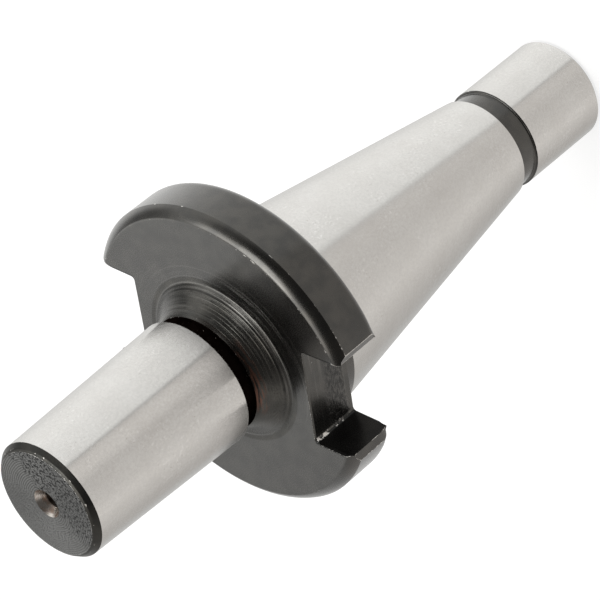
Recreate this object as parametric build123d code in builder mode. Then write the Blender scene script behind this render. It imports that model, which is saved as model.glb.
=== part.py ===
from build123d import *
import os
from math import radians, sqrt, tan

# Arbor that carries a drill chuck in a milling spindle: one turned piece, millimetres.
# The origin is on the axis in the gauge plane of the spindle taper, +Z runs to the chuck end.

# Spindle taper, size 30, 7 in 24 on the diameter
gauge_diameter = 31.75
spindle_taper_rate = 7 / 24
shank_length = 68.4

# Rear pilot, and the relief groove between it and the small end of the taper
pilot_diameter = 17.0
pilot_chamfer = 0.6
pilot_step_from_taper = 0.23
groove_width = 3.6
groove_depth = 0.4
groove_corner_fillet = 0.35

# Threaded hole for the drawbar, drilled to its core diameter
drawbar_core_diameter = 10.2
drawbar_mouth_step = 1.4
drawbar_hole_depth = 34.0
drill_point_angle = 118.0
countersink_angle = 60.0

# Collar and driving flange
collar_step_from_gauge = 0.225
collar_length = 1.6
flange_diameter = 50.0
flange_thickness = 8.4
flange_rear_fillet = 1.0
flange_bevel_width = 1.5
flange_bevel_length = 1.6
flange_bevel_crown = 0.18

# Two driving slots in the flange
slot_width = 16.1
slot_floor_clearance = 0.1
slot_corner_fillet = 0.6
slot_mouth_bevel_width = 1.45
slot_mouth_bevel_depth = 0.8

# Hub in front of the flange, and the neck behind the chuck taper
hub_base_diameter = 25.8
hub_front_diameter = 19.6
hub_length = 3.8
hub_base_fillet = 0.6
hub_edge_chamfer = 0.25
neck_depth = 1.1
neck_length = 2.5
neck_corner_fillet = 0.5

# Self-holding taper for the chuck
chuck_taper_diameter = 20.599
chuck_taper_rate = 0.05324
chuck_taper_length = 30.5
chuck_taper_rear_chamfer = 0.2
chuck_taper_end_chamfer = 0.95

# Centre hole in the chuck end
centre_mouth_diameter = 4.6
centre_pilot_diameter = 2.0
centre_pilot_length = 3.0

# Radii, worked out from the sizes above
gauge_radius = gauge_diameter / 2
pilot_radius = pilot_diameter / 2
taper_small_radius = pilot_radius + pilot_step_from_taper
groove_radius = pilot_radius - groove_depth
collar_radius = gauge_radius + collar_step_from_gauge
flange_radius = flange_diameter / 2
hub_base_radius = hub_base_diameter / 2
hub_front_radius = hub_front_diameter / 2
neck_radius = hub_front_radius - neck_depth
nose_radius = chuck_taper_diameter / 2

# Heights along the axis, worked out from the sizes above
groove_front_z = (taper_small_radius - gauge_radius) * 2 / spindle_taper_rate
groove_rear_z = groove_front_z - groove_width
shank_end_z = -shank_length
flange_rear_z = collar_length
flange_front_z = flange_rear_z + flange_thickness
hub_front_z = flange_front_z + hub_length
nose_rear_z = hub_front_z + neck_length
nose_rear_edge_z = nose_rear_z + chuck_taper_rear_chamfer
nose_end_z = nose_rear_z + chuck_taper_length
nose_end_edge_z = nose_end_z - chuck_taper_end_chamfer


def nose_radius_at(z):
    """Radius of the chuck taper at a height."""
    return nose_radius - (z - nose_rear_z) * chuck_taper_rate / 2


with BuildPart() as arbor:
    # The outline is turned about the axis: half a section in the XZ plane.
    with BuildSketch(Plane.XZ) as outline:
        with BuildLine():
            shank = FilletPolyline(
                (0, shank_end_z),
                (pilot_radius - pilot_chamfer, shank_end_z),
                (pilot_radius, shank_end_z + pilot_chamfer),
                (pilot_radius, groove_rear_z),
                (groove_radius, groove_rear_z),
                (groove_radius, groove_front_z),
                (taper_small_radius, groove_front_z),
                (gauge_radius, 0),
                (collar_radius, 0),
                (collar_radius, flange_rear_z),
                (flange_radius, flange_rear_z),
                (flange_radius, flange_front_z - flange_bevel_length),
                radius=[0, 0, 0, groove_corner_fillet, groove_corner_fillet, 0, 0, 0, 0, flange_rear_fillet],
            )
            bevel = SagittaArc(
                shank @ 1,
                (flange_radius - flange_bevel_width, flange_front_z),
                -flange_bevel_crown,
            )
            nose = FilletPolyline(
                bevel @ 1,
                (hub_base_radius, flange_front_z),
                (hub_front_radius, hub_front_z - hub_edge_chamfer),
                (hub_front_radius - hub_edge_chamfer, hub_front_z),
                (neck_radius, hub_front_z),
                (neck_radius, nose_rear_z),
                (nose_radius - chuck_taper_rear_chamfer, nose_rear_z),
                (nose_radius_at(nose_rear_edge_z), nose_rear_edge_z),
                (nose_radius_at(nose_end_edge_z), nose_end_edge_z),
                (nose_radius_at(nose_end_z) - chuck_taper_end_chamfer, nose_end_z),
                (0, nose_end_z),
                radius=[hub_base_fillet, 0, 0, neck_corner_fillet, 0, 0, 0, 0, 0],
            )
            Line(nose @ 1, shank @ 0)
        make_face()
    revolve(axis=Axis.Z)

    # Driving slots: a flat floor with rounded corners, and a bevelled mouth at the rim.
    slot_half = slot_width / 2
    slot_floor_y = collar_radius + slot_floor_clearance
    mouth_half = slot_half + slot_mouth_bevel_width
    mouth_rim_y = sqrt(flange_radius**2 - mouth_half**2)
    wall_end_y = sqrt(flange_radius**2 - slot_half**2) - slot_mouth_bevel_depth
    mouth_slope = (mouth_rim_y - wall_end_y) / slot_mouth_bevel_width
    outside_x = mouth_half + slot_mouth_bevel_width
    outside_y = mouth_rim_y + mouth_slope * slot_mouth_bevel_width
    with BuildSketch(Plane.XY.offset(flange_rear_z)) as slots:
        with BuildLine():
            slot_outline = FilletPolyline(
                (-outside_x, outside_y),
                (-slot_half, wall_end_y),
                (-slot_half, slot_floor_y),
                (slot_half, slot_floor_y),
                (slot_half, wall_end_y),
                (outside_x, outside_y),
                radius=[0, slot_corner_fillet, slot_corner_fillet, 0],
            )
            Polyline(
                slot_outline @ 1,
                (outside_x, flange_diameter),
                (-outside_x, flange_diameter),
                slot_outline @ 0,
            )
        make_face()
        mirror(about=Plane.XZ)
    extrude(amount=flange_thickness, mode=Mode.SUBTRACT)

    # Drawbar hole in the rear end: countersunk mouth, core bore and drill point.
    drawbar_radius = drawbar_core_diameter / 2
    mouth_radius = drawbar_radius + drawbar_mouth_step
    countersink_depth = drawbar_mouth_step / tan(radians(countersink_angle / 2))
    drawbar_point = drawbar_radius / tan(radians(drill_point_angle / 2))
    with BuildSketch(Plane.XZ) as drawbar_hole:
        with BuildLine():
            Polyline(
                (0, shank_end_z),
                (mouth_radius, shank_end_z),
                (drawbar_radius, shank_end_z + countersink_depth),
                (drawbar_radius, shank_end_z + drawbar_hole_depth),
                (0, shank_end_z + drawbar_hole_depth + drawbar_point),
                close=True,
            )
        make_face()
    revolve(axis=Axis.Z, mode=Mode.SUBTRACT)

    # Centre hole in the chuck end: 60 degree seat and a small pilot.
    centre_mouth_radius = centre_mouth_diameter / 2
    centre_pilot_radius = centre_pilot_diameter / 2
    centre_seat_depth = (centre_mouth_radius - centre_pilot_radius) / tan(radians(countersink_angle / 2))
    centre_point = centre_pilot_radius / tan(radians(drill_point_angle / 2))
    with BuildSketch(Plane.XZ) as centre_hole:
        with BuildLine():
            Polyline(
                (0, nose_end_z),
                (centre_mouth_radius, nose_end_z),
                (centre_pilot_radius, nose_end_z - centre_seat_depth),
                (centre_pilot_radius, nose_end_z - centre_seat_depth - centre_pilot_length),
                (0, nose_end_z - centre_seat_depth - centre_pilot_length - centre_point),
                close=True,
            )
        make_face()
    revolve(axis=Axis.Z, mode=Mode.SUBTRACT)

arbor.part.label = "arbor"

os.makedirs("parts", exist_ok=True)
export_step(arbor.part, "parts/arbor.step")
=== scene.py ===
import math

import bmesh
import bpy
import numpy as np
from mathutils import Matrix, Vector
from mathutils.geometry import delaunay_2d_cdt


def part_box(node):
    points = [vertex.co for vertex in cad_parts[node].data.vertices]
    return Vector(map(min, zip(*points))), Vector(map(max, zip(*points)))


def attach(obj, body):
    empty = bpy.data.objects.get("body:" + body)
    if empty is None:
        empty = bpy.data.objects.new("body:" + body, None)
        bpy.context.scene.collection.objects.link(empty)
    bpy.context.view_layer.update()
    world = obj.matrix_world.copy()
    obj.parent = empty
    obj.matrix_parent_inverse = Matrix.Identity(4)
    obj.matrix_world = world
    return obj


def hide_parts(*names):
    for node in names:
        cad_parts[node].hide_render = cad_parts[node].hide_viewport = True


# Arbor that carries a drill chuck in a milling spindle. The origin is on the axis in the gauge plane,
# +Z runs to the chuck end. Sizes are in millimetres and become metres in the finished mesh.
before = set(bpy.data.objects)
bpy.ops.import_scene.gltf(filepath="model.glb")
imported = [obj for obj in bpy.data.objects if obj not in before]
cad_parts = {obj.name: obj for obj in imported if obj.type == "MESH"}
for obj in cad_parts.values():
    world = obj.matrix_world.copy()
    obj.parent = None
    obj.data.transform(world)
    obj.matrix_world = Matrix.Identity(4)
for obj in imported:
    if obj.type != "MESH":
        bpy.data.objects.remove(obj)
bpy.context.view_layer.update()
MM = 0.001

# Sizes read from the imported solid
low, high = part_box("arbor")
SHANK_END = round(low.z / MM, 3)
NOSE_END = round(high.z / MM, 3)
FLANGE_RADIUS = round(high.x / MM, 3)

# Spindle taper, pilot and groove
GAUGE_RADIUS = 15.875
TAPER_SLOPE = 7 / 48
PILOT_RADIUS = 8.5
PILOT_CHAMFER = 0.6
TAPER_SMALL_RADIUS = PILOT_RADIUS + 0.23
GROOVE_RADIUS = PILOT_RADIUS - 0.4
GROOVE_WIDTH = 3.6
GROOVE_FILLET = 0.35
GROOVE_FRONT = (TAPER_SMALL_RADIUS - GAUGE_RADIUS) / TAPER_SLOPE
GROOVE_REAR = GROOVE_FRONT - GROOVE_WIDTH

# Drawbar hole in the pilot end, with its thread; the tooth's sizes are shares of the pitch
DRAWBAR_CORE = 5.1
DRAWBAR_MAJOR = 6.0
DRAWBAR_MOUTH = DRAWBAR_CORE + 1.4
DRAWBAR_DEPTH = 34.0
DRAWBAR_PITCH = 1.75
THREAD_LENGTH = 28.0
TOOTH_HALF = 0.36
TOOTH_FLANK = 0.3
HALF_POINT_ANGLE = math.radians(59)
HALF_SINK_ANGLE = math.radians(30)

# Collar and flange, with the heights of the extra rings between the rear round and the bevel
COLLAR_RADIUS = GAUGE_RADIUS + 0.225
FLANGE_REAR = 1.6
FLANGE_FRONT = FLANGE_REAR + 8.4
REAR_ROUND = 1.4
MIDDLE_LEVELS = (3.0, 3.4, 3.9, 4.6, 5.6, 6.6, 7.4)
BEVEL_WIDTH = 1.5
BEVEL_LENGTH = 1.6
BEVEL_CROWN = 0.18
LIP_REACH = 0.1

# Driving slots, with the small broken edges at both faces of the flange
SLOT_HALF = 8.05
SLOT_FLOOR = COLLAR_RADIUS + 0.1
SLOT_CORNER = 0.6
SLOT_FRONT_BREAK = 0.25
SLOT_REAR_BREAK = 0.05
FLOOR_BREAK_SHARE = 0.6
MOUTH_WIDTH = 1.45
MOUTH_DEPTH = 0.8
LEAST_MOUTH = 0.3
WALL_END = math.sqrt(FLANGE_RADIUS**2 - SLOT_HALF**2) - MOUTH_DEPTH

# Wear of the slots' shape: a flared wall, softened mouths, and rear corners cut back and knocked up
WALL_FLARE = 0.24
FLARE_DEPTH = 0.12
SOFT_CORNER = 1.6
CORNER_REACH = 2.4
CORNER_CUT = 0.9
SHARP_CUT = 0.36
FLARED_CUT = 0.18
CORNER_DROP = 0.75
CORNER_PULL = 0.45
OTHER_PULL = 0.09
PULLED_RIM = 2.5

# Hub, neck and chuck taper; the knee is the low ridge between the two facets of the end chamfer
HUB_BASE_RADIUS = 12.9
HUB_FRONT_RADIUS = 9.8
HUB_FRONT = FLANGE_FRONT + 3.8
HUB_FILLET = 0.8
HUB_HOLLOW = 0.15
HOLLOW_ROUND = 12.0
HUB_CHAMFER = 0.25
NECK_RADIUS = HUB_FRONT_RADIUS - 1.1
NECK_FILLET = 0.5
NOSE_REAR = HUB_FRONT + 2.5
NOSE_RADIUS = 20.599 / 2
NOSE_SLOPE = 0.05324 / 2
NOSE_REAR_CHAMFER = 0.06
NOSE_END_CHAMFER = 0.95
KNEE_WIDTH = 0.37
KNEE_DROP = 0.21
KNEE_ROUND = 0.4

# Centre hole in the chuck end
CENTRE_MOUTH = 2.3
CENTRE_PILOT = 1.0
CENTRE_PILOT_LENGTH = 3.0
CENTRE_SEAT_END = NOSE_END - (CENTRE_MOUTH - CENTRE_PILOT) / math.tan(HALF_SINK_ANGLE)

# Fineness of the mesh; angles are in degrees
EDGE_BREAK = 0.07
SUPPORT = 0.07
FACE_RING = 0.4
ROUND_STEP = 14
SHARP_ANGLE = 24
COLUMNS = 320
ARC_COLUMNS = 151
BORE_COLUMNS = 80

# Wear of edges: common, rubbed (a painted glint), patchy, specked, nicked, and with a burr along it
COMMON = 0.52
RUBBED = 0.5
PATCHY = 0.77
SPECKED = 0.85
NICK = 1.0
BURR = 1.15
WORN_REACH = 0.18

# Azimuths of the nicks on the bevel's outer and inner edge, and half the width of one, in degrees
RIM_NICKS = (112.9, 114.8, 116.7, 119.2, 121.4, 129.1, 144.4, 152.5, 191.1, 204.4, 214.4)
FACE_NICKS = (116.7, 134.1, 156.2)
HALF_NICK = 0.48

# Heights above which the corner of the slot's floor is rubbed, and specked, bare: a painted glint
CORNER_RUBBED_GLINT = 2.5
CORNER_SPECKED_GLINT = 7.3

# Finishes, in the order of the mesh's material slots
STEEL, BLACK, HUB, FACED, MILLED, WALL, NECK, FACE, BORE, END = range(10)


class Shell:
    """Points, faces, finishes and edge wear of one closed mesh."""

    def __init__(self):
        self.points = []
        self.wear = []
        self.faces = []
        self.finishes = []

    def loop(self, points, wear=0.0):
        """Adds a ring of points and gives their numbers."""
        start = len(self.points)
        self.points.extend(points)
        self.wear.extend([wear] * len(points))
        return list(range(start, len(self.points)))

    def face(self, corners, finish):
        self.faces.append(corners)
        self.finishes.append(finish)

    def band(self, first, second, finish):
        """Quads between two rings of as many points."""
        count = len(first)
        for i in range(count):
            j = (i + 1) % count
            self.face((first[i], first[j], second[j], second[i]), finish)

    def fan_band(self, coarse, fine, finish):
        """A flat ring between a circle and a finer one, which has a whole number of times its points."""
        ratio = len(fine) // len(coarse)
        for i in range(len(coarse)):
            j = (i + 1) % len(coarse)
            far = [fine[(i * ratio + k) % len(fine)] for k in range(ratio + 1)]
            self.face((coarse[j], coarse[i], *far), finish)

    def tip(self, ring, height, finish):
        """Closes a ring with a point on the axis."""
        point = self.loop([(0.0, 0.0, height)])[0]
        for i in range(len(ring)):
            self.face((ring[i], ring[(i + 1) % len(ring)], point), finish)

    def plate(self, outer, inner, finish):
        """A flat face between an outer ring of any outline and an inner circle."""
        ids = outer + inner
        flat = [Vector(self.points[i][:2]) for i in ids]
        edges = []
        for start, count in ((0, len(outer)), (len(outer), len(inner))):
            edges += [(start + i, start + (i + 1) % count) for i in range(count)]
        spots, _, triangles, originals, _, _ = delaunay_2d_cdt(flat, edges, [], 1, 1e-7)
        hole = min(math.hypot(*self.points[i][:2]) for i in inner)
        for triangle in triangles:
            centre = sum((spots[i] for i in triangle), Vector((0, 0))) / 3
            if centre.length > hole:
                self.face(tuple(ids[originals[i][0]] for i in triangle), finish)


def rounded(points):
    """Rows of a turned outline. A point is (radius, height, corner radius, finish of what follows);
    a row is (radius, height, finish of what follows, wear)."""
    rows = [(points[0][0], points[0][1], points[0][3], 0.0)]
    for before, corner, after in zip(points, points[1:], points[2:]):
        at = np.array(corner[:2])
        back = np.array(before[:2]) - at
        ahead = np.array(after[:2]) - at
        back_length, ahead_length = np.hypot(*back), np.hypot(*ahead)
        back, ahead = back / back_length, ahead / ahead_length
        turn = math.pi - math.acos(np.clip(back @ ahead, -1, 1))
        size, finish = corner[2], corner[3]
        if size == 0:
            rows.append((*at, finish, 0.0))
            continue
        reach = size * math.tan(turn / 2)
        side = ahead + back * math.cos(turn)
        side = side / np.hypot(*side)
        convex = back[0] * ahead[1] - back[1] * ahead[0] < 0
        if back_length > reach + 2 * SUPPORT:
            rows.append((*(at + back * (reach + SUPPORT)), before[3], 0.0))
        steps = max(2, math.ceil(math.degrees(turn) / ROUND_STEP))
        for k in range(steps + 1):
            angle = turn * k / steps
            spot = at + back * reach + size * (-back * math.sin(angle) + side * (1 - math.cos(angle)))
            rows.append((*spot, finish, COMMON if convex else 0.0))
        if ahead_length > reach + 2 * SUPPORT:
            rows.append((*(at + ahead * (reach + SUPPORT)), finish, 0.0))
    last = points[-1]
    rows.append((last[0], last[1], last[3], 0.0))
    return rows


def circle(radius, height, count):
    angles = np.arange(count) * 2 * math.pi / count
    return [(radius * math.cos(a), radius * math.sin(a), height) for a in angles]


def lathe(shell, rows, count):
    """Turns rows about the axis; gives the first ring and the last."""
    rings = [shell.loop(circle(radius, height, count), wear) for radius, height, _, wear in rows]
    for row, before, after in zip(rows, rings, rings[1:]):
        shell.band(before, after, row[2])
    return rings[0], rings[-1]


def nose_radius(height):
    return NOSE_RADIUS - (height - NOSE_REAR) * NOSE_SLOPE


def shank_rows():
    """From the rear end face over pilot, groove, taper and collar to the flange."""
    return rounded([
        (PILOT_RADIUS - PILOT_CHAMFER - FACE_RING, SHANK_END, 0, BLACK),
        (PILOT_RADIUS - PILOT_CHAMFER, SHANK_END, EDGE_BREAK, BLACK),
        (PILOT_RADIUS, SHANK_END + PILOT_CHAMFER, EDGE_BREAK, STEEL),
        (PILOT_RADIUS, GROOVE_REAR, EDGE_BREAK / 2, BLACK),
        (GROOVE_RADIUS, GROOVE_REAR, GROOVE_FILLET, BLACK),
        (GROOVE_RADIUS, GROOVE_FRONT, GROOVE_FILLET, BLACK),
        (TAPER_SMALL_RADIUS, GROOVE_FRONT, EDGE_BREAK / 2, STEEL),
        (GAUGE_RADIUS, 0, 0, BLACK),
        (COLLAR_RADIUS, 0, EDGE_BREAK, BLACK),
        (COLLAR_RADIUS, FLANGE_REAR, 0, BLACK),
    ])


def nose_rows():
    """From the flange over hub, neck and chuck taper to the front end face."""
    end_edge = NOSE_END - NOSE_END_CHAMFER
    end_radius = nose_radius(NOSE_END) - NOSE_END_CHAMFER
    rear_edge = NOSE_REAR + NOSE_REAR_CHAMFER
    cone_end = HUB_FRONT - HUB_CHAMFER
    lean = math.atan2(HUB_BASE_RADIUS - HUB_FRONT_RADIUS, cone_end - FLANGE_FRONT)
    hollow_radius = (HUB_BASE_RADIUS + HUB_FRONT_RADIUS) / 2 - HUB_HOLLOW * math.cos(lean)
    hollow_height = (FLANGE_FRONT + cone_end) / 2 - HUB_HOLLOW * math.sin(lean)
    rows = rounded([
        (HUB_BASE_RADIUS + 1.0, FLANGE_FRONT, 0, HUB),
        (HUB_BASE_RADIUS, FLANGE_FRONT, HUB_FILLET, HUB),
        (hollow_radius, hollow_height, HOLLOW_ROUND, HUB),
        (HUB_FRONT_RADIUS, cone_end, EDGE_BREAK, HUB),
        (HUB_FRONT_RADIUS - HUB_CHAMFER, HUB_FRONT, EDGE_BREAK, NECK),
        (NECK_RADIUS, HUB_FRONT, NECK_FILLET, NECK),
        (NECK_RADIUS, NOSE_REAR, EDGE_BREAK, NECK),
        (NOSE_RADIUS - NOSE_REAR_CHAMFER, NOSE_REAR, EDGE_BREAK, STEEL),
        (nose_radius(rear_edge), rear_edge, EDGE_BREAK, STEEL),
        (nose_radius(end_edge), end_edge, EDGE_BREAK, END),
        (end_radius + KNEE_WIDTH, NOSE_END - KNEE_DROP, KNEE_ROUND, END),
        (end_radius, NOSE_END, EDGE_BREAK, FACED),
        (end_radius - FACE_RING, NOSE_END, 0, FACED),
    ])
    # The end face's edge is bare in specks.
    return [(*row[:3], SPECKED if row[3] and row[2] == FACED else row[3]) for row in rows]


def bevel_rows():
    """Rows of the flange's crowned front bevel, with a small round at its inner edge."""
    start = np.array((FLANGE_RADIUS, FLANGE_FRONT - BEVEL_LENGTH))
    end = np.array((FLANGE_RADIUS - BEVEL_WIDTH, FLANGE_FRONT))
    chord = np.hypot(*(end - start))
    outward = np.array((end[1] - start[1], start[0] - end[0])) / chord
    edge = WORN_REACH / chord
    rows = []
    for share in (0.0, edge, *np.arange(2, 9) / 10, 1 - edge, 1 - LIP_REACH / chord):
        spot = start + (end - start) * share + outward * BEVEL_CROWN * 4 * share * (1 - share)
        rows.append((*spot, 0.0 if share else COMMON))
    # A small round runs from the last row to the front face, drawn towards the edge itself.
    inside = end - (LIP_REACH, 0)
    middle = end / 2 + (spot + inside) / 4
    return rows + [(*middle, COMMON), (*inside, COMMON)]


def rim_rows():
    """Rows of the flange's rim, from the rear round to the front bevel: radius, height, wear."""
    rows = []
    for angle in np.linspace(0, math.pi / 2, 9):
        rows.append((FLANGE_RADIUS - REAR_ROUND + REAR_ROUND * math.sin(angle),
                     FLANGE_REAR + REAR_ROUND * (1 - math.cos(angle)), 0.0))
    before_bevel = FLANGE_FRONT - BEVEL_LENGTH - WORN_REACH
    rows += [(FLANGE_RADIUS, height, 0.0) for height in (*MIDDLE_LEVELS, before_bevel)]
    return rows + bevel_rows()


def slot_growth(height):
    """The slot is wider by a small broken edge at both faces of the flange."""
    front = SLOT_FRONT_BREAK - (FLANGE_FRONT - height)
    rear = SLOT_REAR_BREAK - (height - FLANGE_REAR)
    return max(front, rear, 0.0)


def mouth_reach(radius, half, flare, wall_end):
    """How far out from the wall the mouth's facet meets the rim, at this radius of the rim."""
    rim_y = math.sqrt(FLANGE_RADIUS**2 - (SLOT_HALF + MOUTH_WIDTH) ** 2)
    slope = (rim_y - wall_end) / (MOUTH_WIDTH - flare)
    # The facet meets the rim at x = half + t, y = wall_end + slope * t.
    a, b, c = 1 + slope**2, half + slope * wall_end, half**2 + wall_end**2 - radius**2
    return (-b + math.sqrt(max(b * b - a * c, 0))) / a


def soft_mouth(radius, half, reach, wall_end, cut):
    """A worn mouth, bent from the rim into the wall."""
    mouth_x = half + max(reach, SOFT_CORNER / 2) + CORNER_CUT * cut
    top = min(wall_end, math.sqrt(radius**2 - half**2))
    mouth_y = math.sqrt(radius**2 - mouth_x**2)
    ends = np.array(((mouth_x, mouth_y), (half, top), (half, top - SOFT_CORNER)))
    spots = [np.array(((1 - s) ** 2, 2 * s * (1 - s), s * s)) @ ends for s in np.linspace(0, 1, 8)]
    return [(*spot, 0.0) for spot in spots]


def sharp_mouth(radius, half, reach, wall_end, cut, burr):
    """A mouth with a flat facet between two worn edges, and the start of the wall."""
    top = wall_end
    mouth_x = half + reach + cut
    if reach < LEAST_MOUTH:
        mouth_x = half + 0.02
        top = math.sqrt(radius**2 - mouth_x**2) - 0.1
    mouth_y = math.sqrt(radius**2 - mouth_x**2)
    edge = min(WORN_REACH / math.dist((mouth_x, mouth_y), (half, top)), 0.3)
    facet = [(half + (mouth_x - half) * s, top + (mouth_y - top) * s, wear)
             for s, wear in ((1, burr), (1 - edge, 0.0), (0.6, 0.0), (0.4, 0.0), (edge, 0.0), (0, burr))]
    return facet + [(half, top - WORN_REACH, 0.0), (half, top - 3 * WORN_REACH, 0.0)]


def slot_side(radius, grow, flare, cut, soft):
    """One side of a driving slot from the rim to the middle of the floor: x, y and wear of each point.
    The wall leans out by the flare, and towards the rear the mouth is cut back."""
    half = SLOT_HALF + grow + flare
    floor_y = SLOT_FLOOR - FLOOR_BREAK_SHARE * grow
    wall_end = WALL_END - (FLARE_DEPTH if flare else CORNER_DROP * cut)
    reach = mouth_reach(radius, half, flare, wall_end)
    if soft:
        mouth = soft_mouth(radius, half, reach, wall_end, cut)
    elif flare:
        mouth = sharp_mouth(radius, half, reach, wall_end, FLARED_CUT * cut, BURR)
    else:
        mouth = sharp_mouth(radius, half, reach, wall_end, SHARP_CUT * cut, PATCHY)
    top = mouth[-1][1]
    drop = floor_y + SLOT_CORNER - top
    wall = [(half - flare * s, top + drop * s, 0.0) for s in np.linspace(0, 1, 7)[1:]]
    half -= flare
    corner = [(half - SLOT_CORNER * (1 - math.cos(a)), floor_y + SLOT_CORNER * (1 - math.sin(a)), 0.0)
              for a in np.linspace(0, math.pi / 2, 7)[1:]]
    bed = [((half - SLOT_CORNER) * s, floor_y, 0.0) for s in np.linspace(1, 0, 6)[1:]]
    return mouth + wall + corner + bed


def slotted_ring(radius, grow, cut):
    """Outline of the flange at one height, with a sharp slot at +Y and a worn one at -Y: x, y and wear."""
    ring = []
    for sign, soft, flare in ((1, False, WALL_FLARE), (-1, True, 0.0)):
        side = slot_side(radius, grow, 0.0, cut, soft)
        far_side = slot_side(radius, grow, flare, cut, soft)
        next_side = slot_side(radius, grow, 0.0, cut, not soft)
        ring += [(sign * x, sign * y, w) for x, y, w in side]
        ring += [(-sign * x, sign * y, w) for x, y, w in reversed(far_side[:-1])]
        start = -math.atan2(far_side[0][0], far_side[0][1])
        end = math.atan2(next_side[0][0], next_side[0][1]) - math.pi
        edge = WORN_REACH / radius
        for angle in (start - edge, *np.linspace(start, end, ARC_COLUMNS)[2:-2], end + edge):
            ring.append((sign * radius * math.sin(angle), sign * radius * math.cos(angle), 0.0))
    return ring


def lifted(x, y, height):
    """Height of a point of the flange. The slots' rear corners are knocked up, one of each slot more."""
    across = abs(abs(x) - SLOT_HALF - MOUTH_WIDTH) / CORNER_REACH
    behind = (height - FLANGE_REAR) / CORNER_REACH
    if math.hypot(x, y) < FLANGE_RADIUS - PULLED_RIM or across > 1 or behind > 1:
        return height
    near = (1 - across) * (1 - behind)
    pull = CORNER_PULL if x * y > 0 else OTHER_PULL
    return height + pull * near * near * (3 - 2 * near)


def nicked(x, y, places):
    """True at the azimuths where an edge is nicked."""
    azimuth = math.degrees(math.atan2(y, x)) % 360
    return any(abs(azimuth - place) < HALF_NICK for place in places)


def flange_levels():
    """Rings of the flange from its rear to its front face: height, radius, growth of the slots, wear."""
    rows = rim_rows()
    known = [height for _, height, _ in rows]
    levels = [(FLANGE_REAR, rows[0][0] - WORN_REACH, 2 * SLOT_REAR_BREAK, 0.0)]
    for height in sorted({*known, FLANGE_REAR + SLOT_REAR_BREAK, FLANGE_FRONT - SLOT_FRONT_BREAK}):
        radius = float(np.interp(height, known, [radius for radius, _, _ in rows]))
        worn = max([wear for _, level, wear in rows if level == height], default=0.0)
        levels.append((height, radius, slot_growth(height), worn))
    return levels + [(FLANGE_FRONT, rows[-1][0] - WORN_REACH, SLOT_FRONT_BREAK + WORN_REACH, 0.0)]


def flange_wear(x, y, height, wear, worn):
    """Wear of a point, from its outline's wear, its ring's wear, the nicks and the slot at +Y."""
    front_edge = worn and abs(x) < SLOT_HALF + SLOT_FRONT_BREAK + 0.01 and height == FLANGE_FRONT
    in_glint_corner = abs(x - SLOT_HALF) < SLOT_CORNER and SLOT_FLOOR < y < SLOT_FLOOR + SLOT_CORNER
    places = FACE_NICKS if height > FLANGE_FRONT - LIP_REACH else RIM_NICKS
    if front_edge and x < 0 and y > WALL_END - 1:
        local = BURR
    # Towards the front, the corner of the slot's floor is painted bare metal as its glint: a painted
    # highlight.
    elif in_glint_corner and height > CORNER_SPECKED_GLINT:
        local = SPECKED
    elif in_glint_corner and height > CORNER_RUBBED_GLINT:
        local = RUBBED
    else:
        local = NICK if worn and nicked(x, y, places) else 0.0
    return max(wear, worn, local, SPECKED if front_edge and y > 0 else 0.0)


def flange_finishes():
    """Finish of each column of the flange's rim and slots."""
    spots = []
    for x, y, _ in slotted_ring(FLANGE_RADIUS, 0.0, 0.0):
        in_slot = abs(x) < SLOT_HALF + WALL_FLARE + 0.01 and abs(y) < WALL_END + 0.01
        spots.append(BLACK if not in_slot else MILLED if abs(y) < SLOT_FLOOR + SLOT_CORNER / 2 else WALL)
    following = spots[1:] + spots[:1]
    return [BLACK if BLACK in pair else pair[0] for pair in zip(spots, following)]


def flange(shell, rear_ring, front_ring):
    """The slotted flange between the collar's ring and the hub's ring."""
    levels = flange_levels()
    rings = []
    for number, (height, radius, grow, worn) in enumerate(levels):
        behind = max(0.0, 1 - (height - FLANGE_REAR) / CORNER_REACH)
        outline = slotted_ring(radius, grow, 1 - math.sqrt(1 - behind**2))
        rings.append(shell.loop([(x, y, lifted(x, y, height)) for x, y, _ in outline]))
        if 0 < number < len(levels) - 1:
            for i, (x, y, wear) in zip(rings[-1], outline):
                shell.wear[i] = flange_wear(x, y, height, wear, worn)
    finishes = flange_finishes()
    for before, after in zip(rings, rings[1:]):
        for i, finish in enumerate(finishes):
            j = (i + 1) % len(finishes)
            shell.face((before[i], before[j], after[j], after[i]), finish)
    shell.plate(rings[0], rear_ring, BLACK)
    shell.plate(rings[-1], front_ring, FACE)


def drawbar_hole(shell):
    """Countersunk mouth, threaded bore and drill point in the rear end; gives the mouth's ring."""
    angles = np.arange(BORE_COLUMNS) * 2 * math.pi / BORE_COLUMNS
    thread_end = SHANK_END + THREAD_LENGTH
    rings = []
    for height in (*np.arange(SHANK_END, thread_end, DRAWBAR_PITCH / 10), thread_end):
        fade = min(1.0, (thread_end - height) / DRAWBAR_PITCH)
        phase = (height / DRAWBAR_PITCH - angles / (2 * math.pi)) % 1.0
        tooth = np.clip((TOOTH_HALF - np.abs(phase - 0.5)) / TOOTH_FLANK, 0, 1)
        cone = DRAWBAR_MOUTH - (height - SHANK_END) * math.tan(HALF_SINK_ANGLE)
        radii = np.maximum(DRAWBAR_CORE + tooth * (DRAWBAR_MAJOR - DRAWBAR_CORE) * fade, cone)
        if height == SHANK_END:
            radii = np.full(BORE_COLUMNS, DRAWBAR_MOUTH)
        spots = [(r * math.cos(a), r * math.sin(a), height) for r, a in zip(radii, angles)]
        rings.append(shell.loop(spots))
    bore_end = SHANK_END + DRAWBAR_DEPTH
    rings.append(shell.loop(circle(DRAWBAR_CORE, bore_end, BORE_COLUMNS)))
    for before, after in zip(rings, rings[1:]):
        shell.band(before, after, BORE)
    shell.tip(rings[-1], bore_end + DRAWBAR_CORE / math.tan(HALF_POINT_ANGLE), BORE)
    return rings[0]


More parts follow.
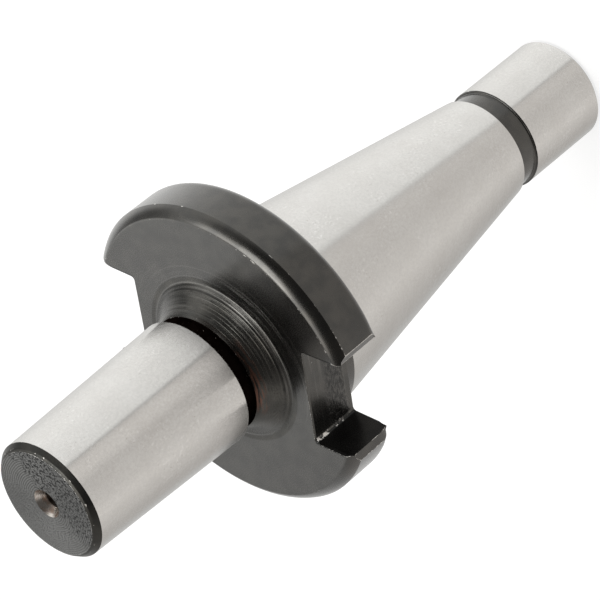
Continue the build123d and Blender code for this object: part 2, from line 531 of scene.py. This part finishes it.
def centre_hole(shell):
    """60 degree seat and drilled pilot in the front end; gives the mouth's ring."""
    pilot_end = CENTRE_SEAT_END - CENTRE_PILOT_LENGTH
    rows = rounded([
        (CENTRE_MOUTH, NOSE_END, 0, BORE),
        (CENTRE_PILOT, CENTRE_SEAT_END, EDGE_BREAK, BORE),
        (CENTRE_PILOT, pilot_end, 0, BORE),
    ])
    mouth, bottom = lathe(shell, rows, BORE_COLUMNS)
    shell.tip(bottom, pilot_end - CENTRE_PILOT / math.tan(HALF_POINT_ANGLE), BORE)
    return mouth


def arbor_mesh():
    """The whole arbor as one closed mesh, with its finishes and its wear."""
    shell = Shell()
    rear_face, collar_ring = lathe(shell, shank_rows(), COLUMNS)
    hub_ring, front_face = lathe(shell, nose_rows(), COLUMNS)
    flange(shell, collar_ring, hub_ring)
    shell.fan_band(drawbar_hole(shell), rear_face, BLACK)
    shell.fan_band(centre_hole(shell), front_face, FACED)
    mesh = bpy.data.meshes.new("arbor_turned")
    mesh.from_pydata([Vector(p) * MM for p in shell.points], [], shell.faces)
    mesh.polygons.foreach_set("material_index", shell.finishes)
    mesh.polygons.foreach_set("use_smooth", [True] * len(shell.faces))
    worn = mesh.attributes.new("wear", "FLOAT", "POINT")
    worn.data.foreach_set("value", shell.wear)
    cleaned = bmesh.new()
    cleaned.from_mesh(mesh)
    bmesh.ops.recalc_face_normals(cleaned, faces=cleaned.faces)
    cleaned.to_mesh(mesh)
    cleaned.free()
    mesh.set_sharp_from_angle(angle=math.radians(SHARP_ANGLE))
    return mesh


class Nodes:
    """Short ways to add nodes to a node tree."""

    def __init__(self, tree):
        self.tree = tree

    def add(self, kind):
        return self.tree.nodes.new(kind)

    def feed(self, socket, value):
        """A value is another node's socket, a number, a colour or a vector."""
        if isinstance(value, bpy.types.NodeSocket):
            self.tree.links.new(value, socket)
        elif isinstance(value, tuple) and socket.type == "RGBA":
            socket.default_value = (*value, 1)
        else:
            socket.default_value = value

    def run(self, kind, operation, *values):
        node = self.add(kind)
        node.operation = operation
        for socket, value in zip(node.inputs, values):
            self.feed(socket, value)
        return node.outputs[0]

    def math(self, operation, *values):
        return self.run("ShaderNodeMath", operation, *values)

    def times(self, first, *others):
        """Product of two or more values."""
        for value in others:
            first = self.math("MULTIPLY", first, value)
        return first

    def span(self, value, low, high):
        """0 below low, 1 above high, smooth between; the other way round where low is the larger."""
        node = self.add("ShaderNodeMapRange")
        node.interpolation_type = "SMOOTHSTEP"
        self.feed(node.inputs["Value"], value)
        node.inputs["From Min"].default_value = min(low, high)
        node.inputs["From Max"].default_value = max(low, high)
        node.inputs["To Min"].default_value = 0.0 if low < high else 1.0
        node.inputs["To Max"].default_value = 1.0 if low < high else 0.0
        return node.outputs[0]

    def split(self, vector):
        """The x, y and z of a vector."""
        node = self.add("ShaderNodeSeparateXYZ")
        self.feed(node.inputs[0], vector)
        return node.outputs[:]


class Metal(Nodes):
    """Nodes of one metal. Its coordinates are millimetres in the arbor's own frame."""

    def __init__(self, name):
        self.material = bpy.data.materials.new(name)
        self.material.use_nodes = True
        super().__init__(self.material.node_tree)
        self.shader = self.tree.nodes["Principled BSDF"]
        self.shader.inputs["Metallic"].default_value = 1.0
        own = self.add("ShaderNodeTexCoord").outputs["Object"]
        self.place = self.run("ShaderNodeVectorMath", "MULTIPLY", own, (1 / MM, 1 / MM, 1 / MM))
        self.x, self.y, self.z = self.split(self.place)
        squares = self.math("ADD", self.times(self.x, self.x), self.times(self.y, self.y))
        self.radius = self.math("SQRT", squares)
        self.normal = None

    def toward(self, azimuth):
        """How far a place lies from the axis toward an azimuth in degrees."""
        angle = math.radians(azimuth)
        return self.math("MULTIPLY_ADD", self.x, math.cos(angle), self.times(self.y, math.sin(angle)))

    def grains(self, place, scale, detail):
        """Noise from 0 to 1 at a place."""
        node = self.add("ShaderNodeTexNoise")
        self.feed(node.inputs["Vector"], place)
        node.inputs["Scale"].default_value = scale
        node.inputs["Detail"].default_value = detail
        return node.outputs[0]

    def noise(self, scale, stretch=(1, 1, 1), detail=3.0):
        """Noise with about this many grains to the millimetre, or fewer where it is stretched."""
        place = self.run("ShaderNodeVectorMath", "MULTIPLY", self.place, stretch)
        return self.grains(place, scale, detail)

    def ring_noise(self, along, scale, slow=0.04, detail=3.0):
        """Noise in rings about the axis, with this many grains to the millimetre along a length. The
        rings change slowly on their way round."""
        join = self.add("ShaderNodeCombineXYZ")
        for socket, value in zip(join.inputs, (self.times(self.x, slow), self.times(self.y, slow), along)):
            self.feed(socket, value)
        return self.grains(join.outputs[0], scale, detail)

    def waves(self, value, pitch, wander):
        """Waves from 0 to 1 along a length in millimetres, led astray by a noise."""
        phase = self.math("MULTIPLY_ADD", value, 2 * math.pi / pitch, self.times(wander, 6.0))
        return self.math("MULTIPLY_ADD", self.math("SINE", phase), 0.5, 0.5)

    def blend(self, share, first, second):
        """The first colour where the share is 0, the second where it is 1."""
        node = self.add("ShaderNodeMix")
        node.data_type = "RGBA"
        self.feed(node.inputs[0], share)
        self.feed(node.inputs[6], first)
        self.feed(node.inputs[7], second)
        return node.outputs[2]

    def colour(self, value):
        self.feed(self.shader.inputs["Base Color"], value)

    def tint(self, share, colour):
        """Blends a colour over the base colour so far."""
        before = self.shader.inputs["Base Color"].links[0].from_socket
        self.colour(self.blend(share, before, colour))

    def roughness(self, middle, swing, pattern):
        """Roughness that swings about its middle with a pattern from 0 to 1."""
        value = self.math("MULTIPLY_ADD", pattern, 2 * swing, middle - swing)
        self.feed(self.shader.inputs["Roughness"], value)

    def relief(self, pattern, depth):
        """Relief of this depth in millimetres, on top of what is there already."""
        node = self.add("ShaderNodeBump")
        node.inputs["Strength"].default_value = 1.0
        node.inputs["Distance"].default_value = depth * MM
        self.feed(node.inputs["Height"], pattern)
        if self.normal:
            self.feed(node.inputs["Normal"], self.normal)
        self.normal = node.outputs[0]
        self.feed(self.shader.inputs["Normal"], self.normal)

    def oiled(self, weight):
        """A thin coat over the metal, of the same gloss all over."""
        self.shader.inputs["Coat Weight"].default_value = weight
        self.shader.inputs["Coat IOR"].default_value = 1.5
        self.shader.inputs["Coat Roughness"].default_value = 0.2

    def worn(self):
        """1 where an edge has lost its finish, and along the painted glint in a slot's corner."""
        node = self.add("ShaderNodeAttribute")
        node.attribute_name = "wear"
        grain = self.noise(1.8, detail=4.0)
        return self.span(self.math("MULTIPLY_ADD", node.outputs["Fac"], 0.6, grain), 0.93, 1.0)

    def handled_side(self):
        """1 on the side of the arbor where the turned faces are scratched, 0 on the other."""
        return self.span(self.toward(160), -2.0, 7.0)


# Colours that several finishes share
BARE_AND_GLINT = (0.62, 0.6, 0.57)
# Colour of scratches, and of the painted highlight lines on the hub
SCRATCH_AND_HIGHLIGHT = (0.2, 0.195, 0.185)
# Colour of dark spots, and of painted shade in the hub's tool marks and troughs
SOOT_AND_SHADE = (0.006, 0.006, 0.006)


def ground_steel():
    """Bare steel ground round the axis: gloss drawn out along the axis, faint clouds, specks and lines."""
    steel = Metal("ground_steel")
    tangent = steel.add("ShaderNodeTangent")
    tangent.direction_type = "RADIAL"
    tangent.axis = "Z"
    steel.feed(steel.shader.inputs["Tangent"], tangent.outputs[0])
    steel.shader.inputs["Anisotropic"].default_value = 1.0
    steel.shader.inputs["Anisotropic Rotation"].default_value = 0.25
    mottle = steel.noise(2.6)
    rough_patch = steel.span(steel.noise(0.16, detail=2.0), 0.42, 0.66)
    pale = steel.span(steel.noise(2.4), 0.55, 0.72)
    specks = steel.span(steel.noise(4.0, detail=1.0), 0.66, 0.76)
    steel.colour(steel.blend(steel.noise(0.22), (0.64, 0.625, 0.605), (0.73, 0.725, 0.71)))
    steel.tint(steel.times(steel.span(mottle, 0.35, 0.65), 0.3), (0.6, 0.59, 0.575))
    steel.tint(steel.times(pale, rough_patch, 0.5), (0.83, 0.825, 0.815))
    steel.tint(steel.times(specks, rough_patch, 0.5), (0.46, 0.43, 0.4))
    steel.roughness(0.2, 0.03, mottle)
    steel.relief(steel.ring_noise(steel.z, 12.0, detail=1.0), 0.004)
    return steel.material


def blackened(name, dark=(0.037, 0.036, 0.033), light=(0.056, 0.053, 0.047), coat=1.0):
    """Steel with a satin black finish, bare where its edges are worn and along a slot corner's painted
    glint.
    """
    black = Metal(name)
    black.oiled(coat)
    specks = black.span(black.noise(2.6, detail=2.0), 0.68, 0.76)
    black.colour(black.blend(black.span(black.noise(0.4, detail=4.0), 0.35, 0.65), dark, light))
    black.tint(black.times(specks, 0.4), (0.09, 0.078, 0.068))
    black.tint(black.worn(), BARE_AND_GLINT)
    grain = black.noise(7.0)
    black.roughness(0.27, 0.05, grain)
    black.relief(grain, 0.004)
    return black


def black_oxide():
    return blackened("black_oxide").material


def turned_black():
    """The hub: black finish over turning grooves and scratches, browned towards the front edge, with
    painted shade and painted highlight lines.
    """
    hub = blackened("turned_black", (0.055, 0.054, 0.05), (0.08, 0.077, 0.07), 0.3)
    side = hub.handled_side()
    grooves = hub.span(hub.ring_noise(hub.radius, 4.5, 0.008, 2.0), 0.35, 0.65)
    hub.relief(hub.times(grooves, side), 0.026)
    # Two tool marks run round at the base as lines of painted shade, each inside a painted highlight line.
    for place, share, colour in ((12.25, 0.45, SOOT_AND_SHADE), (12.75, 0.5, SOOT_AND_SHADE),
                                 (12.5, 0.45, SCRATCH_AND_HIGHLIGHT), (13.0, 0.45, SCRATCH_AND_HIGHLIGHT)):
        off = hub.math("ABSOLUTE", hub.math("SUBTRACT", hub.radius, place))
        weight = hub.math("MULTIPLY_ADD", side, 0.85 * share, 0.15 * share)
        hub.tint(hub.times(hub.span(off, 0.16, 0.04), weight), colour)
    scratches = hub.span(hub.ring_noise(hub.radius, 6.0, 0.02), 0.56, 0.66)
    hub.tint(hub.times(scratches, side, 0.3), (0.18, 0.175, 0.165))
    # Darker rings for the turning troughs on the handled side: painted shade.
    shaded_troughs = hub.span(hub.ring_noise(hub.radius, 6.0, 0.09), 0.4, 0.32)
    hub.tint(hub.times(shaded_troughs, side, 0.6), SOOT_AND_SHADE)
    # The front edge is painted near black on the side toward azimuth 125: painted shade.
    edge = hub.times(hub.span(hub.z, 13.15, 13.45), hub.span(hub.toward(125), 4.0, 7.5))
    hub.tint(hub.times(edge, 0.85), (0.012, 0.009, 0.007))
    streaks = hub.span(hub.ring_noise(hub.radius, 5.0, 0.08, 4.0), 0.45, 0.58)
    browned = hub.times(hub.span(hub.z, 12.2, 13.1), hub.span(hub.toward(105), 7.5, 9.8))
    hub.tint(hub.times(streaks, browned, 0.6), (0.2, 0.09, 0.06))
    return hub.material


def flange_face():
    """The flange's front face: black finish, with turning marks round the hub that fade outwards."""
    face = blackened("flange_face", (0.06, 0.059, 0.056), (0.077, 0.075, 0.07), 0.75)
    near_hub = face.times(face.span(face.radius, 19.5, 14.5), face.handled_side())
    face.relief(face.times(face.ring_noise(face.radius, 3.5, 0.01, 2.0), near_hub), 0.05)
    scratches = face.times(face.span(face.ring_noise(face.radius, 3.2, 0.012), 0.57, 0.66), near_hub)
    face.relief(scratches, 0.025)
    face.tint(face.times(scratches, 0.35), SCRATCH_AND_HIGHLIGHT)
    return face.material


def faced_black():
    """The front end face: facing rings under a worn black finish, with dark spots on one side."""
    face = blackened("faced_black", (0.07, 0.07, 0.068), (0.094, 0.094, 0.092), 0.0)
    patchy = face.math("MULTIPLY_ADD", face.noise(0.45, detail=2.0), 7.0, face.toward(136.7))
    dull = face.span(patchy, 3.5, 6.2)
    rings = face.waves(face.radius, 0.33, face.noise(0.3, (1, 1, 0), 1.0))
    face.relief(rings, 0.035)
    face.tint(face.times(rings, 0.9), (0.2, 0.2, 0.197))
    spots = face.times(face.span(face.noise(2.5, detail=4.0), 0.51, 0.55), dull)
    face.relief(spots, -0.1)
    face.tint(spots, SOOT_AND_SHADE)
    return face.material


def chamfer_black():
    """The chamfer of the front end: the same black, handled until it is dull."""
    chamfer = blackened("chamfer_black", (0.045, 0.045, 0.042), (0.062, 0.06, 0.055), 0.0)
    chamfer.roughness(0.34, 0.04, chamfer.noise(3.0))
    return chamfer.material


def milled_black():
    """The floors of the driving slots: black finish over milling marks, with pits in the middle."""
    slot = blackened("milled_black", (0.06, 0.059, 0.055), (0.078, 0.075, 0.069), 0.5)
    middle = slot.times(slot.span(slot.z, 2.4, 3.4), slot.span(slot.z, 7.2, 5.6))
    marks = slot.noise(3.2, (0.03, 0.0, 1.0))
    slot.relief(marks, 0.05)
    slot.tint(slot.times(slot.span(marks, 0.52, 0.66), 0.5), (0.15, 0.145, 0.135))
    pits = slot.times(slot.span(slot.noise(3.6, (0.3, 0.0, 1.0)), 0.46, 0.54), middle)
    slot.relief(pits, -0.1)
    slot.tint(slot.times(pits, 0.85), (0.004, 0.004, 0.004))
    return slot.material


def shaded_wall_black():
    """The walls of the driving slots: a duller black, darkened as painted shade, thinly scratched."""
    wall = blackened("shaded_wall_black", (0.012, 0.012, 0.012), (0.02, 0.02, 0.019), 0.25)
    wall.relief(wall.noise(3.0, (1.0, 1.0, 0.15)), 0.01)
    return wall.material


def shaded_neck_black():
    """The neck: near black and without gloss, as painted shade of its deep groove, with a few bright
    specks.
    """
    neck = blackened("shaded_neck_black", (0.004, 0.002, 0.0015), (0.008, 0.005, 0.004), 0.0)
    neck.shader.inputs["Metallic"].default_value = 0.0
    neck.shader.inputs["Specular IOR Level"].default_value = 0.0
    neck.tint(neck.span(neck.noise(4.0, detail=1.0), 0.76, 0.8), (0.45, 0.4, 0.36))
    return neck.material


def bare_bore():
    """The holes: bare steel, browned by the finishing bath. The centre hole's seat has painted shade at
    its foot.
    """
    bore = Metal("bare_bore")
    stain = bore.span(bore.noise(0.7), 0.42, 0.6)
    bore.colour(bore.blend(stain, (0.6, 0.56, 0.52), (0.31, 0.235, 0.195)))
    in_nose = bore.span(bore.z, 40.0, 41.0)
    # The centre hole is painted near black next to its pilot: painted shade.
    painted_shade_near_pilot = bore.times(bore.span(bore.z, CENTRE_SEAT_END + 1.05, CENTRE_SEAT_END + 0.8), in_nose)
    bore.tint(bore.times(painted_shade_near_pilot, 0.97), (0.008, 0.007, 0.006))
    bore.roughness(0.27, 0.06, stain)
    bore.relief(bore.waves(bore.z, 0.22, bore.noise(0.6)), 0.006)
    return bore.material


# The camera: focal length and film in millimetres, the arbor's axis and origin in the camera's own axes
# with y down and z ahead, and the arbor's turn about its axis in degrees
LENS = 204
FILM = 36
AXIS_SEEN = (-0.6492, 0.5297, -0.5458)
ORIGIN_SEEN = (-4.428, 3.186, 492.476)
AXIS_TURN = 189.45


def camera():
    """A long lens at the photograph's viewing angle."""
    data = bpy.data.cameras.new("camera")
    data.lens = LENS
    data.sensor_width = FILM
    data.clip_start = 0.01
    data.clip_end = 20
    axis = Vector(AXIS_SEEN).normalized()
    level = axis.cross(Vector((1, 0, 0))).normalized()
    turn = math.radians(AXIS_TURN)
    x_seen = level * math.cos(turn) + axis.cross(level) * math.sin(turn)
    y_seen = axis.cross(x_seen)
    to_arbor = Matrix((x_seen, y_seen, axis))
    eye = bpy.data.objects.new("camera", data)
    place = Matrix.Translation(-(to_arbor @ Vector(ORIGIN_SEEN)) * MM)
    eye.matrix_world = place @ (to_arbor @ Matrix.Diagonal((1, -1, -1))).to_4x4()
    bpy.context.scene.collection.objects.link(eye)
    bpy.context.scene.camera = eye


# Light of the studio by azimuth in degrees, and its colour up to one azimuth and from there on
STUDIO = (
    (0, 0.58), (17, 0.59), (41, 0.73), (65, 0.86), (90, 0.78), (125, 0.73), (150, 0.74), (160, 0.71),
    (162.5, 0.5), (165, 0.86), (168, 1.0), (200, 1.06), (233, 1.15), (257, 1.12), (281, 0.96),
    (293, 0.85), (305, 0.80), (317, 0.73), (342, 0.66), (360, 0.58),
)
WARM = (1.0, 0.966, 0.93)
NEUTRAL = (1.0, 0.997, 0.98)
WARM_UP_TO = 161

# Parts of the studio that depart from that: azimuth and elevation of the middle, angles from it at which
# the part is full and gone, lowest elevation that it reaches down to, factor and added light
DARK_ROOM = (125, 42, 34, 72, -14, 0.13, 0.0)
DARK_CORNER = (272, 15, 4, 33, -5, 0.28, 0.0)
DARK_ARCH = (195, 37, 12, 30, 8, 0.42, 0.0)
OVERHEAD_PANEL = (193, 69, 12, 16.5, -25, 1.0, 4.6)
ZENITH_PANEL = (80, 84, 10, 22, -25, 1.0, 3.0)
SLANTED_PANEL = (238, 55, 6, 15, -25, 1.0, 2.2)
SIDE_PANEL = (294, 38, 13, 22, -25, 1.0, 0.7)
FRONT_GLOW = (144, -12, 8, 21, -60, 1.0, 0.34)
STUDIO_PARTS = (FRONT_GLOW, DARK_ROOM, DARK_CORNER, DARK_ARCH, OVERHEAD_PANEL, ZENITH_PANEL,
                SLANTED_PANEL, SIDE_PANEL)
LOWER_FADE = 20

# The colour ramp holds the light divided by this, and the strength makes up for it.
RAMP_SCALE = 2.0


def direction(azimuth, elevation):
    a, e = math.radians(azimuth), math.radians(elevation)
    return (math.cos(e) * math.cos(a), math.cos(e) * math.sin(a), math.sin(e))


def studio_colour(nodes, x, y):
    """Colour of the studio's light by azimuth."""
    turns = nodes.times(nodes.math("ARCTAN2", y, x), 1 / (2 * math.pi))
    ramp = nodes.add("ShaderNodeValToRGB")
    stops = ramp.color_ramp.elements
    ramp.color_ramp.interpolation = "EASE"
    while len(stops) > 1:
        stops.remove(stops[0])
    for i, (azimuth, level) in enumerate(STUDIO):
        stop = stops.new(azimuth / 360) if i else stops[0]
        stop.position = azimuth / 360
        tone = WARM if azimuth < WARM_UP_TO else NEUTRAL
        stop.color = (*(level / RAMP_SCALE * part for part in tone), 1)
    nodes.feed(ramp.inputs[0], nodes.math("FRACT", nodes.math("ADD", turns, 1.0)))
    return ramp.outputs[0]


def studio_strength(nodes, place, height):
    """Strength of the studio's light, with its dark and bright parts."""
    strength = RAMP_SCALE
    for azimuth, elevation, full, gone, lowest, factor, added in STUDIO_PARTS:
        dot = nodes.add("ShaderNodeVectorMath")
        dot.operation = "DOT_PRODUCT"
        nodes.feed(dot.inputs[0], place)
        nodes.feed(dot.inputs[1], direction(azimuth, elevation))
        near = nodes.span(dot.outputs["Value"], math.cos(math.radians(gone)), math.cos(math.radians(full)))
        foot, shoulder = math.radians(lowest), math.radians(lowest + LOWER_FADE)
        here = nodes.times(near, nodes.span(height, math.sin(foot), math.sin(shoulder)))
        scaled = nodes.times(strength, nodes.math("MULTIPLY_ADD", here, factor - 1, 1.0))
        strength = nodes.math("MULTIPLY_ADD", here, RAMP_SCALE * added, scaled)
    return strength


def studio():
    """Soft light all round, with bright panels overhead and a dark room on the camera's side. The camera,
    and clear things, see it as plain white."""
    world = bpy.data.worlds.new("studio")
    world.use_nodes = True
    nodes = Nodes(world.node_tree)
    nodes.tree.nodes.clear()
    place = nodes.add("ShaderNodeTexCoord").outputs["Generated"]
    x, y, height = nodes.split(place)
    light = nodes.add("ShaderNodeBackground")
    nodes.feed(light.inputs[0], studio_colour(nodes, x, y))
    nodes.feed(light.inputs[1], studio_strength(nodes, place, height))
    white = nodes.add("ShaderNodeBackground")
    nodes.feed(white.inputs[0], (1, 1, 1))
    path = nodes.add("ShaderNodeLightPath").outputs
    mix = nodes.add("ShaderNodeMixShader")
    nodes.feed(mix.inputs[0], nodes.math("MAXIMUM", path["Is Camera Ray"], path["Is Transmission Ray"]))
    nodes.feed(mix.inputs[1], light.outputs[0])
    nodes.feed(mix.inputs[2], white.outputs[0])
    nodes.feed(nodes.add("ShaderNodeOutputWorld").inputs[0], mix.outputs[0])
    bpy.context.scene.world = world


def floor():
    """A plain pale floor under the pilot end, seen by the camera only, with the object's shadow on it."""
    reach = 6.0
    corners = [(-reach, -reach, 0), (reach, -reach, 0), (reach, reach, 0), (-reach, reach, 0)]
    mesh = bpy.data.meshes.new("floor")
    mesh.from_pydata(corners, [], [(0, 1, 2, 3)])
    plane = bpy.data.objects.new("floor", mesh)
    plane.location.z = SHANK_END * MM
    material = bpy.data.materials.new("floor")
    material.use_nodes = True
    nodes = Nodes(material.node_tree)
    nodes.tree.nodes.clear()
    matt = nodes.add("ShaderNodeBsdfDiffuse")
    nodes.feed(matt.inputs[0], (0.3, 0.3, 0.3))
    glow = nodes.add("ShaderNodeEmission")
    nodes.feed(glow.inputs[1], 0.8)
    both = nodes.add("ShaderNodeAddShader")
    nodes.feed(both.inputs[0], matt.outputs[0])
    nodes.feed(both.inputs[1], glow.outputs[0])
    nodes.feed(nodes.add("ShaderNodeOutputMaterial").inputs[0], both.outputs[0])
    mesh.materials.append(material)
    bpy.context.scene.collection.objects.link(plane)
    plane.visible_diffuse = plane.visible_glossy = False
    plane.visible_transmission = plane.visible_shadow = False


mesh = arbor_mesh()
for finish in (ground_steel, black_oxide, turned_black, faced_black, milled_black, shaded_wall_black, shaded_neck_black,
               flange_face, bare_bore, chamfer_black):
    mesh.materials.append(finish())
arbor = bpy.data.objects.new("arbor_turned", mesh)
bpy.context.scene.collection.objects.link(arbor)
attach(arbor, "root")
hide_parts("arbor")

camera()
studio()
floor()
bpy.context.scene.view_settings.view_transform = "Standard"
